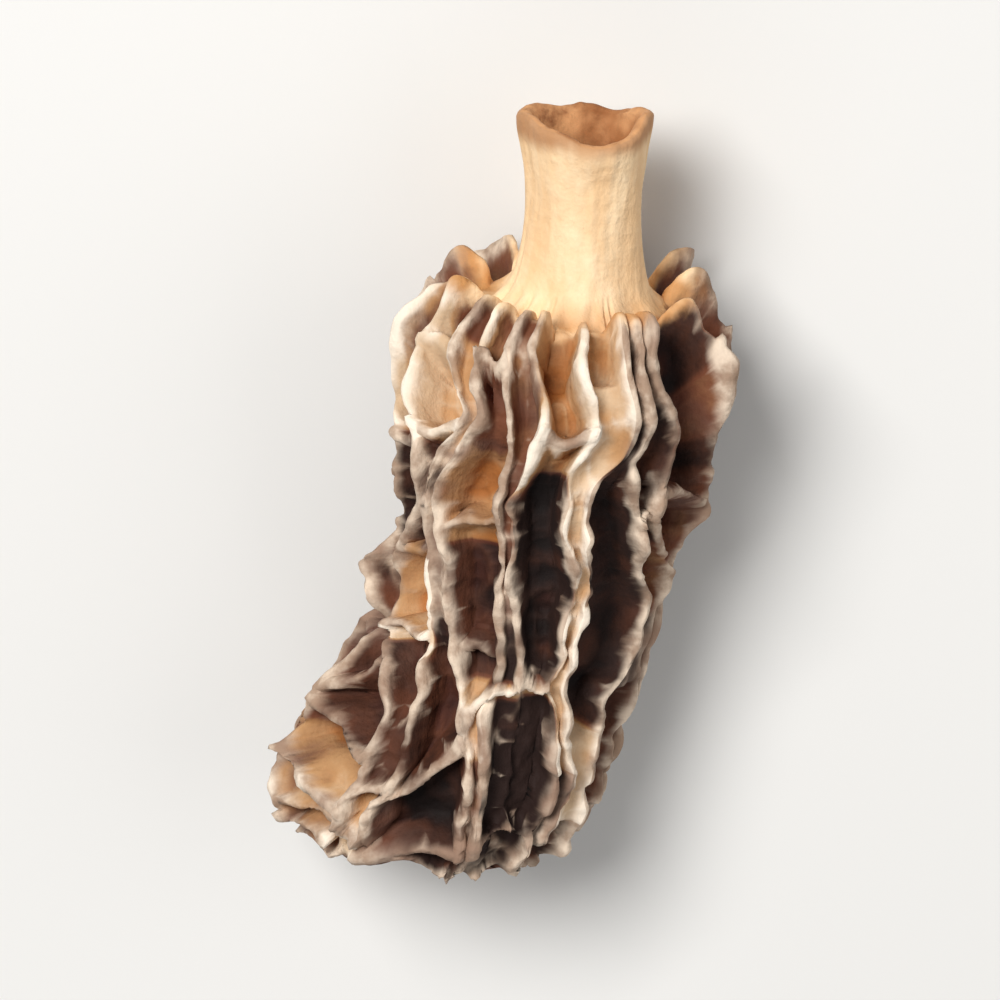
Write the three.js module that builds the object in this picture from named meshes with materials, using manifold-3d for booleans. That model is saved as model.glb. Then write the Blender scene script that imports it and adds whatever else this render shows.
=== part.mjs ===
// A dried morel mushroom lying on its side: a net-covered cap and a short hollow stem with a cut end.
// Millimetres. +Z is up, +Y runs along the mushroom to the stem's cut end, the cap's tip bends to -X.
import * as THREE from "three";
import { mergeVertices } from "three/addons/utils/BufferGeometryUtils.js";
import Module from "manifold-3d";

// Grid of the outer skin: four columns for each rib (edge, foot, pit middle, next foot).
const RIBS = 17;
const COLUMNS_PER_RIB = 4;
const CAP_ROWS = 65;
const CAVITY_COLUMNS = 20;

// Cap, from the stem (0) to the tip (1): radius and depth of the pit floors, then of the rib edges.
// Depth is measured down the axis from the place where the stem ends.
const CAP_LENGTH = 29;
const CAP_PROFILE = [
  [0.0, 4.2, -0.6, 4.2, -0.6],
  [0.02, 4.6, -0.2, 4.9, -1.9],
  [0.045, 5.0, 0.5, 6.1, -2.5],
  [0.075, 5.3, 1.5, 7.3, -1.8],
  [0.12, 5.6, 3.0, 8.4, 0.4],
  [0.16, 5.7, 4.3, 8.6, 2.9],
  [0.24, 5.6, 6.6, 8.2, 6.2],
  [0.35, 5.2, 9.8, 7.3, 9.7],
  [0.47, 4.7, 13.2, 6.7, 13.3],
  [0.58, 4.7, 16.3, 7.0, 16.5],
  [0.7, 5.1, 19.6, 7.8, 20.1],
  [0.8, 5.2, 21.8, 7.9, 22.7],
  [0.88, 4.6, 23.6, 7.1, 24.8],
  [0.95, 3.1, 25.0, 5.0, 26.4],
  [1.0, 0.0, 25.8, 0.0, 27.1],
];

// Stem, from the cap up to the cut end: radius and height. The last two close the cut end.
const STEM_PROFILE = [
  [3.9, 0.85],
  [3.6, 1.15],
  [3.35, 1.4],
  [3.05, 2.0],
  [2.85, 2.8],
  [2.7, 3.8],
  [2.62, 4.9],
  [2.62, 6.0],
  [2.7, 7.0],
  [2.85, 7.9],
  [3.02, 8.6],
  [3.08, 9.1],
  [2.95, 9.4],
  [0.0, 9.4],
];
const STEM_FLUTE_HEIGHT = 2.2;

// Hollow inside, from the tip to past the cut end: radius and height.
const CAVITY_PROFILE = [
  [0.0, -25.2],
  [1.2, -24.8],
  [2.5, -23.6],
  [3.6, -21.4],
  [4.0, -18.5],
  [3.7, -15.5],
  [3.6, -12.5],
  [4.1, -9.0],
  [4.6, -5.0],
  [4.5, -2.4],
  [4.0, -0.7],
  [3.1, 0.6],
  [2.35, 2.2],
  [2.0, 4.0],
  [1.95, 6.0],
  [2.1, 7.8],
  [2.4, 9.2],
  [2.5, 10.2],
  [0.0, 10.2],
];

// How the photograph shows the mushroom: its scale, where it shows the join of stem and cap (pixels from
// its left and from its top), and how steeply it looks down on the mushroom from the stem's side.
const MM_PER_PIXEL = 0.34;
const JOIN_SEEN = [395, 831.5];
const SIGHT_DEGREES = 69;

// Edges of the ribs that the photograph shows, from the left outline to the right one, in its pixels.
const SEEN_RIBS = [
  [[371.2, 834], [369.9, 838], [369.8, 842], [370.8, 846.5], [370.2, 851], [369.6, 855], [370, 859],
    [369.3, 864], [368.6, 870], [366, 875], [362.5, 879], [359.3, 883], [356.5, 888], [355.2, 892],
    [355.5, 897], [357, 903]],
  [[373.6, 834], [373, 838], [372.6, 842], [373.5, 846], [374.6, 850], [374.2, 854], [373.6, 858],
    [371.5, 861.5], [370.6, 866], [370, 872], [369.3, 878], [368.8, 884], [368.6, 888], [366.6, 892],
    [364.5, 897], [362, 903]],
  [[379.3, 834], [379, 838], [379.8, 842], [381, 846], [378.6, 849.5], [376.6, 853], [375.5, 857],
    [375.6, 861], [376.3, 865], [376.3, 870], [376, 874], [374.6, 878], [374.3, 881.5], [373, 885],
    [371.8, 890], [370, 895], [367.5, 900], [365, 905]],
  [[382.3, 834], [381.8, 837], [381.6, 841], [382.4, 845], [379.8, 849], [377.8, 853], [376.9, 857],
    [377.2, 861], [378.3, 865], [378.3, 870], [378.2, 874], [379.2, 878], [379.8, 882], [380.5, 887],
    [381, 893], [381, 899], [379.5, 905]],
  [[386.6, 835], [386, 838], [386, 844], [386, 850], [385.3, 856], [385, 860], [385.2, 866], [385.2, 872],
    [385.3, 878], [384.8, 882], [383.2, 886], [383, 890], [383.3, 895], [383, 900], [381.5, 905]],
  [[389.3, 835], [390.2, 839], [391, 843], [391.3, 847], [390, 850.5], [388.4, 853.5], [386.6, 857],
    [386.8, 862], [387, 868], [387.2, 874], [387.8, 879], [388, 884], [388, 890], [388, 896], [386.5, 902]],
  [[396.4, 837], [396.8, 841], [397.3, 845], [397, 848.5], [395.8, 851.5], [394.8, 855], [394.1, 859],
    [394.2, 863], [395.2, 866], [395.8, 869], [394.6, 872], [393.4, 875], [393.6, 878], [392, 881.5],
    [393, 885], [393.3, 888], [393, 891], [393.2, 895], [391.8, 899], [389.5, 903.5]],
  [[402, 837], [402.5, 842], [403, 846], [402.6, 850], [400, 852.8], [397.6, 855.5], [396.6, 860],
    [397.2, 864], [397.9, 868], [396.9, 872], [395.6, 875.5], [395.4, 878.5], [394, 882], [394.8, 886],
    [395, 891], [394.8, 896], [393, 900]],
  [[403.4, 837], [403.9, 842], [404.2, 847], [403.4, 852], [403.6, 856.5], [404.6, 860.5], [405, 866],
    [405.8, 871], [405, 876], [403.4, 880], [400.6, 883.5], [399.6, 887], [399, 892], [397.5, 896.5],
    [395.5, 901]],
  [[405.6, 837], [407, 840.5], [408.3, 844], [408.8, 848.5], [408.3, 853], [406.8, 857.5], [408, 862],
    [409, 866.5], [408.6, 870], [407, 873.5], [406, 877.5], [405, 881.5], [403.5, 886], [402.6, 890],
    [402, 895], [399.5, 899.5]],
  [[415, 835], [415.6, 839], [415.6, 843], [415.1, 848], [414.6, 853], [413.2, 857], [411.3, 860.5],
    [410.8, 865], [410.9, 868.5], [409, 873], [407.5, 878], [405.8, 883], [404.5, 888], [403.5, 893],
    [401.5, 898]],
];

// Mean directions in degrees of the ribs on the hidden side, and how far they wander. 0 is straight up.
const HIDDEN_RIBS = [103, 131, 159, 187, 215, 245];
const HIDDEN_WANDER = 5;
const LEAST_GAP_DEGREES = 5;

// Ribs across a pit that the photograph shows: the pit (numbered as the rib on its left), the two ends in
// the photograph's pixels, and the height.
const SEEN_CROSS_RIBS = [
  [0, [370.8, 847.5], [373.6, 847], 0.8],
  [0, [369.8, 859.5], [373, 859.5], 0.8],
  [0, [361, 882.5], [368.8, 875.5], 0.85],
  [0, [361, 883.5], [367, 891], 0.85],
  [1, [373.6, 833], [379.3, 832.5], 0.7],
  [1, [373.5, 846.5], [381, 847], 0.85],
  [1, [370.8, 862.5], [376, 861.5], 0.75],
  [1, [370.2, 873], [376.2, 874.5], 0.95],
  [2, [370.5, 897.5], [380.8, 888], 0.85],
  [3, [382, 837], [386, 837.5], 0.9],
  [3, [382.2, 846.5], [386, 845.5], 0.5],
  [3, [377, 859.5], [385, 858.5], 0.75],
  [3, [378.4, 876], [385.4, 876.8], 0.65],
  [3, [380, 886], [384.8, 882.5], 0.95],
  [4, [384.8, 882.2], [388, 881.3], 0.95],
  [5, [388, 881.3], [392, 881.5], 0.95],
  [5, [391.3, 848.3], [396.6, 848.3], 0.95],
  [8, [404.4, 859.2], [406.8, 858.4], 0.95],
  [9, [408.3, 854.5], [413.8, 856], 0.8],
  [9, [408.8, 869.5], [411, 869], 0.8],
];

// The same on the hidden side and at the tip: the pit, depth, slant over the pit, height.
const OTHER_CROSS_RIBS = [
  [0, 22.6, 1.0, 0.95],
  [0, 25.2, -0.8, 0.9],
  [1, 21.6, -1.2, 0.95],
  [1, 24.2, 0.8, 0.95],
  [10, 3.2, 0.8, 0.8],
  [10, 8.4, -1.2, 0.8],
  [10, 13.6, 1.0, 0.75],
  [10, 19.4, -0.8, 0.8],
  [11, 5.6, 1.2, 0.75],
  [11, 10.8, -0.8, 0.8],
  [11, 16.6, 0.8, 0.8],
  [11, 22.4, -0.6, 0.7],
  [12, 3.0, -0.8, 0.8],
  [12, 8.8, 1.2, 0.8],
  [12, 14.4, -1.0, 0.75],
  [12, 20.4, 0.8, 0.75],
  [13, 5.2, 1.0, 0.75],
  [13, 11.6, -1.2, 0.8],
  [13, 17.4, 0.8, 0.8],
  [13, 22.6, 0.6, 0.7],
  [14, 3.6, 0.8, 0.8],
  [14, 9.4, -1.0, 0.8],
  [14, 15.2, 1.2, 0.75],
  [14, 20.8, -0.8, 0.75],
  [15, 6.0, -1.2, 0.75],
  [15, 12.2, 1.0, 0.8],
  [15, 18.0, -0.8, 0.8],
  [16, 3.4, 0.8, 0.8],
  [16, 8.2, -0.8, 0.8],
  [16, 13.0, 1.0, 0.8],
  [16, 17.2, -0.8, 0.75],
  [16, 21.6, 0.8, 0.75],
];

// Places where two ribs run together and the pit between them is filled: pit, from, to, level.
const FILLS = [
  [0, 22.2, 24.6, 0.6],
  [1, 21.0, 24.0, 0.6],
  [2, 4.0, 13.4, 0.9],
  [3, 17.8, 23.4, 0.8],
  [4, 7.0, 14.6, 0.75],
  [6, 3.2, 24.6, 0.75],
  [7, -1.0, 3.6, 0.85],
  [7, 18.8, 23.4, 0.8],
  [8, 13.4, 16.6, 0.8],
  [9, 20.5, 23.8, 0.6],
  [11, 24.0, 25.2, 0.8],
  [13, 24.6, 25.6, 0.8],
  [15, 23.4, 24.8, 0.7],
];

// Stretches where a rib is low: the rib, from, to, share of its height that is left.
const LOW_STRETCHES = [
  [5, 15.6, 28.5, 0.15],
];

// Flaps of rib edges that stand out further: the rib, depth, half length, extra height.
const FLAPS = [
  [0, 13.0, 2.8, 0.8],
  [3, 3.4, 1.0, 0.2],
  [8, 9.4, 1.2, 0.2],
  [12, 14.0, 1.4, 0.2],
  [15, 5.6, 4.0, 0.75],
];

// Depth at which each rib ends near the tip. There it splits and runs to the ribs that go on longer.
const RIB_ENDS = [
  26.7, 23.6, 25.5, 24.4, 27.0, 22.9, 25.8, 24.0, 26.5,
  23.3, 25.4, 24.3, 26.9, 23.8, 25.6, 24.1, 26.3,
];
const RIB_END_FADE = 0.9;
const RIB_END_LEFT = 0.2;
const BRANCH_LENGTH = 1.2;
const BRANCH_HEIGHT = 0.8;

const RIB_HALF_FOOT = 0.45;
const CROSS_HALF_WIDTH = 0.55;
const SHALLOW_PIT_WIDTH = 0.9;
const PIT_RISE_AT_FOOT = 0.1;
const EDGE_HEIGHT = 0.88;
const EDGE_HEIGHT_CHANGE = 0.12;
const EDGE_LEAN_DEGREES = 1.5;
const TIP_LEVEL = 0.6;

// Slope of the axis toward -X in degrees, by depth, then how the mushroom lies.
const AXIS_SLOPES = [
  [-12, 2.5],
  [-4, 3],
  [0, 9],
  [4, 6],
  [7, 7],
  [9, 13],
  [12, 10],
  [15, 16],
  [17.5, 34],
  [20, 24],
  [23, 17],
  [26, 12],
  [30, 6],
  [34, 6],
];

// Share of the axis's slope that the cross-sections are turned by.
const SECTION_TURN = 0.35;
const BEND_STEP = 0.1;
const LYING_PITCH_DEGREES = 3;
const REST_CUT = 0.75;

const wasm = await Module();
wasm.setup();

function clamp01(value) {
  return Math.min(1, Math.max(0, value));
}

function smooth(value) {
  const part = clamp01(value);
  return part * part * (3 - 2 * part);
}

function mix(from, to, part) {
  return from + (to - from) * part;
}

function radiansOf(degrees) {
  return (degrees * Math.PI) / 180;
}

// A number from 0 to 1 that is always the same for the same seed.
function chance(seed) {
  const value = Math.sin(seed * 12.9898) * 43758.5453;
  return value - Math.floor(value);
}

// Two sine waves of 5.3 and 2.7 mm added up, from -1 to 1.
function wave(depth, seed) {
  const long = Math.sin((depth / 5.3 + chance(seed)) * 2 * Math.PI);
  const short = Math.sin((depth / 2.7 + chance(seed + 0.5)) * 2 * Math.PI);
  return 0.6 * long + 0.4 * short;
}

// Cubic curve through the rows of a table, whose first column is the place along it.
function along(table, column, place) {
  let k = 0;
  while (k < table.length - 2 && place > table[k + 1][0]) {
    k += 1;
  }
  const slope = (n) => {
    const before = table[Math.max(0, n - 1)];
    const after = table[Math.min(table.length - 1, n + 1)];
    return (after[column] - before[column]) / (after[0] - before[0]);
  };
  const step = table[k + 1][0] - table[k][0];
  const u = (place - table[k][0]) / step;
  const start = table[k][column] * (1 + 2 * u) * (1 - u) * (1 - u);
  const end = table[k + 1][column] * u * u * (3 - 2 * u);
  const bends = slope(k) * u * (1 - u) * (1 - u) - slope(k + 1) * u * u * (1 - u);
  return start + end + bends * step;
}

// Slope of the axis in radians.
function bendAngle(depth) {
  return radiansOf(along(AXIS_SLOPES, 1, depth));
}

// How far the bent axis is to the side, at every BEND_STEP of depth from the join, one way.
function sidewaysShifts(way) {
  const shifts = [0];
  for (let n = 1; n <= 320; n += 1) {
    const angle = bendAngle(way * (n - 0.5) * BEND_STEP);
    shifts.push(shifts[n - 1] - way * Math.tan(angle) * BEND_STEP);
  }
  return shifts;
}

const shiftsToTip = sidewaysShifts(1);
const shiftsToStem = sidewaysShifts(-1);

function axisX(depth) {
  const shifts = depth >= 0 ? shiftsToTip : shiftsToStem;
  const steps = Math.abs(depth) / BEND_STEP;
  const k = Math.floor(steps);
  return mix(shifts[k], shifts[k + 1], steps - k);
}

// Place between two limits at which a rising function reaches a value.
function whereReached(rising, value, low, high) {
  let [below, above] = [low, high];
  for (let n = 0; n < 30; n += 1) {
    const middle = (below + above) / 2;
    if (rising(middle) < value) {
      below = middle;
    } else {
      above = middle;
    }
  }
  return (below + above) / 2;
}

// Depth and direction of the point of a rib's edge that the photograph shows at these pixels.
function seenPlace([right, down]) {
  const sight = radiansOf(SIGHT_DEGREES);
  const seenX = (right - JOIN_SEEN[0]) * MM_PER_PIXEL;
  const seenY = (JOIN_SEEN[1] - down) * MM_PER_PIXEL;
  const edge = (place, column) =>
    mix(along(CAP_PROFILE, column, place), along(CAP_PROFILE, column + 2, place), EDGE_HEIGHT);
  let [depth, turn, place] = [2, 0, 0.1];
  for (let n = 0; n < 25; n += 1) {
    const radius = edge(place, 1);
    const y = (seenY + radius * Math.cos(turn) * Math.cos(sight)) / Math.sin(sight);
    const sectionTurn = SECTION_TURN * bendAngle(depth);
    depth = Math.min(30, Math.max(-2, -y - radius * Math.sin(turn) * Math.sin(sectionTurn)));
    place = whereReached((p) => edge(p, 2), depth, 0.06, 1);
    const side = (seenX - axisX(depth)) / Math.cos(SECTION_TURN * bendAngle(depth));
    turn = Math.asin(Math.min(0.985, Math.max(-0.985, side / radius)));
  }
  return [place * CAP_LENGTH, (turn * 180) / Math.PI];
}

// How many pits lie between a rib and the next one that goes on longer, one way; 0 if that is far.
function pitsToLongerRib(rib, way) {
  for (let n = 1; n <= 4; n += 1) {
    if (RIB_ENDS[(rib + way * n + RIBS) % RIBS] > RIB_ENDS[rib] + 0.5) {
      return n;
    }
  }
  return 0;
}

// The branches in which a rib ends, as rows of cross ribs.
function branches(rib, way) {
  const pits = pitsToLongerRib(rib, way);
  return Array.from({ length: pits }, (_, n) => {
    const pit = (way > 0 ? rib + n : rib - n - 1 + RIBS) % RIBS;
    const depth = RIB_ENDS[rib] + (BRANCH_LENGTH * (n + 0.5)) / pits;
    return [pit, depth, (way * BRANCH_LENGTH) / pits, BRANCH_HEIGHT];
  });
}

const seenCourses = SEEN_RIBS.map((edge) => edge.map(seenPlace));
const endBranches = RIB_ENDS.flatMap((_, rib) => [...branches(rib, -1), ...branches(rib, 1)]);
const crossRibs = OTHER_CROSS_RIBS.concat(
  endBranches,
  SEEN_CROSS_RIBS.map(([pit, left, right, height]) => {
    const [start, end] = [seenPlace(left)[0], seenPlace(right)[0]];
    return [pit, (start + end) / 2, end - start, height];
  }),
);

function courseDirection(rib, depth) {
  if (rib >= seenCourses.length) {
    return HIDDEN_RIBS[rib - seenCourses.length] + HIDDEN_WANDER * wave(depth * 0.6, rib + 5.2);
  }
  const course = seenCourses[rib];
  return along(course, 1, Math.min(course[course.length - 1][0], Math.max(course[0][0], depth)));
}

// Directions of all ribs' feet at a depth, in degrees, kept a least gap apart. The last is the first
// one turn further on.
const knownDirections = new Map();
function ribDirections(depth) {
  if (!knownDirections.has(depth)) {
    const feet = Array.from({ length: RIBS }, (_, rib) => courseDirection(rib, depth));
    const middle = Math.floor(seenCourses.length / 2);
    for (let rib = middle + 1; rib < RIBS; rib += 1) {
      feet[rib] = Math.max(feet[rib], feet[rib - 1] + LEAST_GAP_DEGREES);
    }
    for (let rib = middle - 1; rib >= 0; rib -= 1) {
      feet[rib] = Math.min(feet[rib], feet[rib + 1] - LEAST_GAP_DEGREES);
    }
    knownDirections.set(depth, [...feet, feet[0] + 360]);
  }
  return knownDirections.get(depth);
}

function ribDirection(rib, depth) {
  return ribDirections(depth)[rib];
}

function ribHeight(rib, depth) {
  let height = EDGE_HEIGHT + EDGE_HEIGHT_CHANGE * wave(depth, (rib % RIBS) + 0.3);
  for (const [owner, at, halfLength, extra] of FLAPS) {
    if (owner === rib % RIBS) {
      height += extra * (1 - smooth(Math.abs(depth - at) / halfLength));
    }
  }
  for (const [owner, from, to, left] of LOW_STRETCHES) {
    if (owner === rib % RIBS) {
      height *= mix(1, left, smooth(depth - from) * (1 - smooth(depth - to)));
    }
  }
  return height * mix(1, RIB_END_LEFT, smooth((depth - RIB_ENDS[rib % RIBS]) / RIB_END_FADE));
}

function ribLean(rib, depth) {
  return EDGE_LEAN_DEGREES * wave(depth + 1.7, (rib % RIBS) + 20.7);
}

// Height of the net over the pit floor, 0 to 1, at a part (0 to 1) of the way from a rib to the next.
function netHeight(rib, part, depth, spacing) {
  const left = ribHeight(rib, depth) * (1 - smooth((part * spacing) / RIB_HALF_FOOT));
  const right = ribHeight(rib + 1, depth) * (1 - smooth(((1 - part) * spacing) / RIB_HALF_FOOT));
  const middle = 1 - (2 * part - 1) ** 2;
  const pitWidth = spacing - 2 * RIB_HALF_FOOT;
  let level = Math.max(0, 0.55 * (1 - pitWidth / SHALLOW_PIT_WIDTH));
  level = Math.max(level, PIT_RISE_AT_FOOT * (1 - middle));
  for (const [pit, at, slant, height] of crossRibs) {
    if (pit === rib) {
      const off = Math.abs(depth - at - slant * (part - 0.5)) / Math.hypot(1, slant / spacing);
      const sag = 1.1 - 0.25 * middle;
      level = Math.max(level, height * sag * (1 - smooth(off / CROSS_HALF_WIDTH)));
    }
  }
  for (const [pit, from, to, height] of FILLS) {
    if (pit === rib) {
      const inside = smooth(depth - from + 1) * (1 - smooth(depth - to));
      level = Math.max(level, height * (1 - 0.2 * middle) * inside);
    }
  }
  return Math.max(left, right, level);
}

// Slow swellings and dents that keep the cap from being round.
function roundness(depth, radians) {
  const oval = 0.022 * Math.sin(2 * radians + 1.1 + 0.12 * depth);
  const three = 0.02 * Math.sin(3 * radians - 0.3 * depth);
  return 1 + oval + three;
}

// Place on the cap before it is bent: radius, depth and direction in radians.
function capPlace(place, rib, part) {
  const depth = place * CAP_LENGTH;
  const floorRadius = along(CAP_PROFILE, 1, place);
  const from = ribDirection(rib, depth);
  const to = ribDirection(rib + 1, depth);
  const spacing = (((to - from) * Math.PI) / 180) * floorRadius;
  const net = netHeight(rib, part, depth, Math.max(spacing, 0.01));
  const level = mix(net, TIP_LEVEL, smooth((place - 0.95) / 0.05));
  const lean = mix(ribLean(rib, depth), ribLean(rib + 1, depth), part) * level * smooth(depth / 3);
  const radians = ((mix(from, to, part) + lean) * Math.PI) / 180;
  const radius = mix(floorRadius, along(CAP_PROFILE, 3, place), level) * roundness(depth, radians);
  const down = mix(along(CAP_PROFILE, 2, place), along(CAP_PROFILE, 4, place), level);
  return [radius, down, radians];
}

// Place on the stem before it is bent: flutes run down into the ribs at its foot.
function stemPlace(point, rib, part) {
  const [radius, height] = point;
  const radians = (mix(ribDirection(rib, 0), ribDirection(rib + 1, 0), part) * Math.PI) / 180;
  const flute = 0.07 * Math.cos(2 * Math.PI * part) * (1 - smooth(height / STEM_FLUTE_HEIGHT));
  const oval = 0.035 * Math.sin(2 * radians + 0.4) + 0.02 * Math.sin(5 * radians + 0.6 * height);
  const lip = 0.06 * Math.sin(3 * radians + 0.9) * smooth((height - 6.5) / 3);
  const broad = 0.3 * Math.cos(2 * radians) + 0.13 * Math.sin(3 * radians + 0.7);
  const wavy = broad + 0.08 * Math.cos(7 * radians);
  const rise = -wavy * smooth((height - 7) / 2) * (radius / 3);
  return [radius * (1 + flute + oval + lip), -(height + rise), radians];
}

// Part of the way to the next rib at which each of the four columns stands.
function columnPart(column, rib, place) {
  const depth = place * CAP_LENGTH;
  const turn = ((ribDirection(rib + 1, depth) - ribDirection(rib, depth)) * Math.PI) / 180;
  const spacing = turn * Math.max(along(CAP_PROFILE, 1, place), 0.3);
  const foot = Math.min(RIB_HALF_FOOT / spacing, 0.3);
  return [0, foot, 0.5, 1 - foot][column];
}

function bent(radius, depth, radians) {
  const angle = SECTION_TURN * bendAngle(depth);
  const side = radius * Math.sin(radians);
  return new THREE.Vector3(
    axisX(depth) + side * Math.cos(angle),
    -depth - side * Math.sin(angle),
    radius * Math.cos(radians),
  );
}

// Moves every vertex of a lathe shape and leaves one closed skin.
function movedLathe(points, columns, placeOf) {
  const lathe = new THREE.LatheGeometry(points, columns);
  const position = lathe.getAttribute("position");
  for (let n = 0; n < position.count; n += 1) {
    const column = Math.floor(n / points.length) % columns;
    const [radius, depth, radians] = placeOf(n % points.length, column);
    const place = bent(radius, depth, radians);
    position.setXYZ(n, place.x, place.y, place.z);
  }
  lathe.deleteAttribute("normal");
  lathe.deleteAttribute("uv");
  return lathe;
}

function outerSkin() {
  const rows = [];
  for (let n = CAP_ROWS; n >= 0; n -= 1) {
    const q = n / CAP_ROWS;
    const place = 0.6 * q + 0.4 * q * q;
    rows.push({ place, point: null });
  }
  for (const point of STEM_PROFILE) {
    rows.push({ place: 0, point });
  }
  const outline = rows.map(({ place, point }) => {
    const radius = point ? point[0] : along(CAP_PROFILE, 1, place);
    const height = point ? point[1] : -along(CAP_PROFILE, 2, place);
    return new THREE.Vector2(Math.max(radius, 0), height);
  });
  return movedLathe(outline, RIBS * COLUMNS_PER_RIB, (row, column) => {
    const { place, point } = rows[row];
    const rib = Math.floor(column / COLUMNS_PER_RIB);
    const part = columnPart(column % COLUMNS_PER_RIB, rib, place);
    return point ? stemPlace(point, rib, part) : capPlace(place, rib, part);
  });
}

function cavity() {
  const outline = CAVITY_PROFILE.map(([radius, height]) => new THREE.Vector2(radius, height));
  return movedLathe(outline, CAVITY_COLUMNS, (row, column) => {
    const [radius, height] = CAVITY_PROFILE[row];
    const radians = (column / CAVITY_COLUMNS) * 2 * Math.PI;
    return [radius * (1 + 0.03 * Math.sin(2 * radians + 0.4)), -height, radians];
  });
}

// Solid for the cuts, from the faces of a geometry that have three corners apart.
function solidOf(geometry) {
  const bare = geometry.clone();
  bare.deleteAttribute("normal");
  bare.deleteAttribute("uv");
  const merged = mergeVertices(bare, 1e-4);
  const corners = merged.index.array;
  const kept = [];
  for (let n = 0; n < corners.length; n += 3) {
    const [a, b, c] = [corners[n], corners[n + 1], corners[n + 2]];
    if (a !== b && b !== c && c !== a) {
      kept.push(a, b, c);
    }
  }
  const vertProperties = new Float32Array(merged.getAttribute("position").array);
  return new wasm.Manifold(new wasm.Mesh({ numProp: 3, vertProperties, triVerts: new Uint32Array(kept) }));
}

function geometryOf(solid) {
  const { vertProperties, triVerts } = solid.getMesh();
  const geometry = new THREE.BufferGeometry();
  geometry.setAttribute("position", new THREE.BufferAttribute(new Float32Array(vertProperties), 3));
  geometry.setIndex(Array.from(triVerts));
  return geometry;
}

// Turns the mushroom so that its lower ribs lie level.
function laid(geometry) {
  return geometry.rotateX((LYING_PITCH_DEGREES * Math.PI) / 180);
}

function morelGeometry() {
  const skin = laid(outerSkin());
  const hollow = laid(cavity());
  skin.computeBoundingBox();
  const floor = skin.boundingBox.min.z + REST_CUT;
  const slab = new THREE.BoxGeometry(80, 80, 10).translate(0, 0, floor - 5);
  const geometry = geometryOf(solidOf(skin).subtract(solidOf(hollow)).subtract(solidOf(slab)));
  geometry.computeBoundingBox();
  const { min, max } = geometry.boundingBox;
  geometry.translate(-(min.x + max.x) / 2, -(min.y + max.y) / 2, -min.z);
  geometry.computeVertexNormals();
  return geometry;
}

const morel = new THREE.Mesh(
  morelGeometry(),
  new THREE.MeshStandardMaterial({ color: 0x8a6a4c, roughness: 0.85, metalness: 0 }),
);
morel.name = "morel";

const part = new THREE.Group();
part.name = "dried_morel";
part.add(morel);

export default part;
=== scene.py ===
"""A dried morel mushroom lying on its side: a net-covered cap and a short hollow stem with a cut end.

Lengths in the shape functions are millimetres. Depth is measured down the mushroom's axis from the join
of stem and cap to the tip, and is negative up the stem. Directions go round the axis, 0 being straight up.
"""

import itertools

import bpy
import numpy as np
from mathutils import Matrix, Vector


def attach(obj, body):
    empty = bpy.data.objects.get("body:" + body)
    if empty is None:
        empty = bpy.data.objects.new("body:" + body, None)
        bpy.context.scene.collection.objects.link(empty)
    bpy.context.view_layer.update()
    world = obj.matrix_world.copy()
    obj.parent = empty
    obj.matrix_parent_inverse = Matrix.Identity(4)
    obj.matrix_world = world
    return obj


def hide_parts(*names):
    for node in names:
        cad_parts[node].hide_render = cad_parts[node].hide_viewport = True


MM = 0.001

# Where the join of stem and cap lies in the part's frame, and how far the mushroom is tipped.
JOIN_PLACE = (3.3029, 8.4762, 8.0122)
LYING_PITCH = np.radians(3)

# Cap, from the stem (0) to the tip (1): radius and depth of the pit floors, then of the rib edges.
CAP_LENGTH = 29
CAP_PROFILE = [
    [0.0, 4.2, -0.6, 4.2, -0.6],
    [0.02, 4.6, -0.2, 4.9, -1.9],
    [0.045, 5.0, 0.5, 6.1, -2.5],
    [0.075, 5.3, 1.5, 7.3, -1.8],
    [0.12, 5.6, 3.0, 8.4, 0.4],
    [0.16, 5.7, 4.3, 8.6, 2.9],
    [0.24, 5.6, 6.6, 8.2, 6.2],
    [0.35, 5.2, 9.8, 7.3, 9.7],
    [0.47, 4.7, 13.2, 6.7, 13.3],
    [0.58, 4.7, 16.3, 7.0, 16.5],
    [0.7, 5.1, 19.6, 7.8, 20.1],
    [0.8, 5.2, 21.8, 7.9, 22.7],
    [0.88, 4.6, 23.6, 7.1, 24.8],
    [0.95, 3.1, 25.0, 5.0, 26.4],
    [1.0, 0.0, 25.8, 0.0, 27.1],
]

# Stem outside, from the cap to the rim: share of the way, radius, height.
STEM_PROFILE = [
    [0.0, 4.2, 0.6],
    [0.05, 3.75, 0.95],
    [0.1, 3.35, 1.4],
    [0.17, 3.05, 2.0],
    [0.26, 2.85, 2.8],
    [0.37, 2.7, 3.8],
    [0.49, 2.62, 4.9],
    [0.61, 2.62, 6.0],
    [0.73, 2.7, 7.0],
    [0.84, 2.85, 7.9],
    [0.92, 3.0, 8.6],
    [1.0, 3.05, 9.15],
]

# The stem's rounded rim: radius of its middle, half its width, height where it starts, and its rise.
RIM_RADIUS = 2.75
RIM_HALF_WIDTH = 0.3
RIM_HEIGHT = 9.15
RIM_RISE = 0.25

# Hollow, from the rim to the inside of the tip: share of the way, radius, height.
HOLLOW_PROFILE = [
    [0.0, 2.45, 9.15],
    [0.05, 2.1, 7.8],
    [0.1, 1.95, 6.0],
    [0.16, 2.0, 4.0],
    [0.22, 2.35, 2.2],
    [0.28, 3.1, 0.6],
    [0.34, 4.0, -0.7],
    [0.4, 4.5, -2.4],
    [0.48, 4.6, -5.0],
    [0.58, 4.1, -9.0],
    [0.68, 3.6, -12.5],
    [0.76, 3.7, -15.5],
    [0.84, 4.0, -18.5],
    [0.91, 3.6, -21.4],
    [0.96, 2.5, -23.6],
    [0.99, 1.2, -24.8],
    [1.0, 0.0, -25.2],
]

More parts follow.
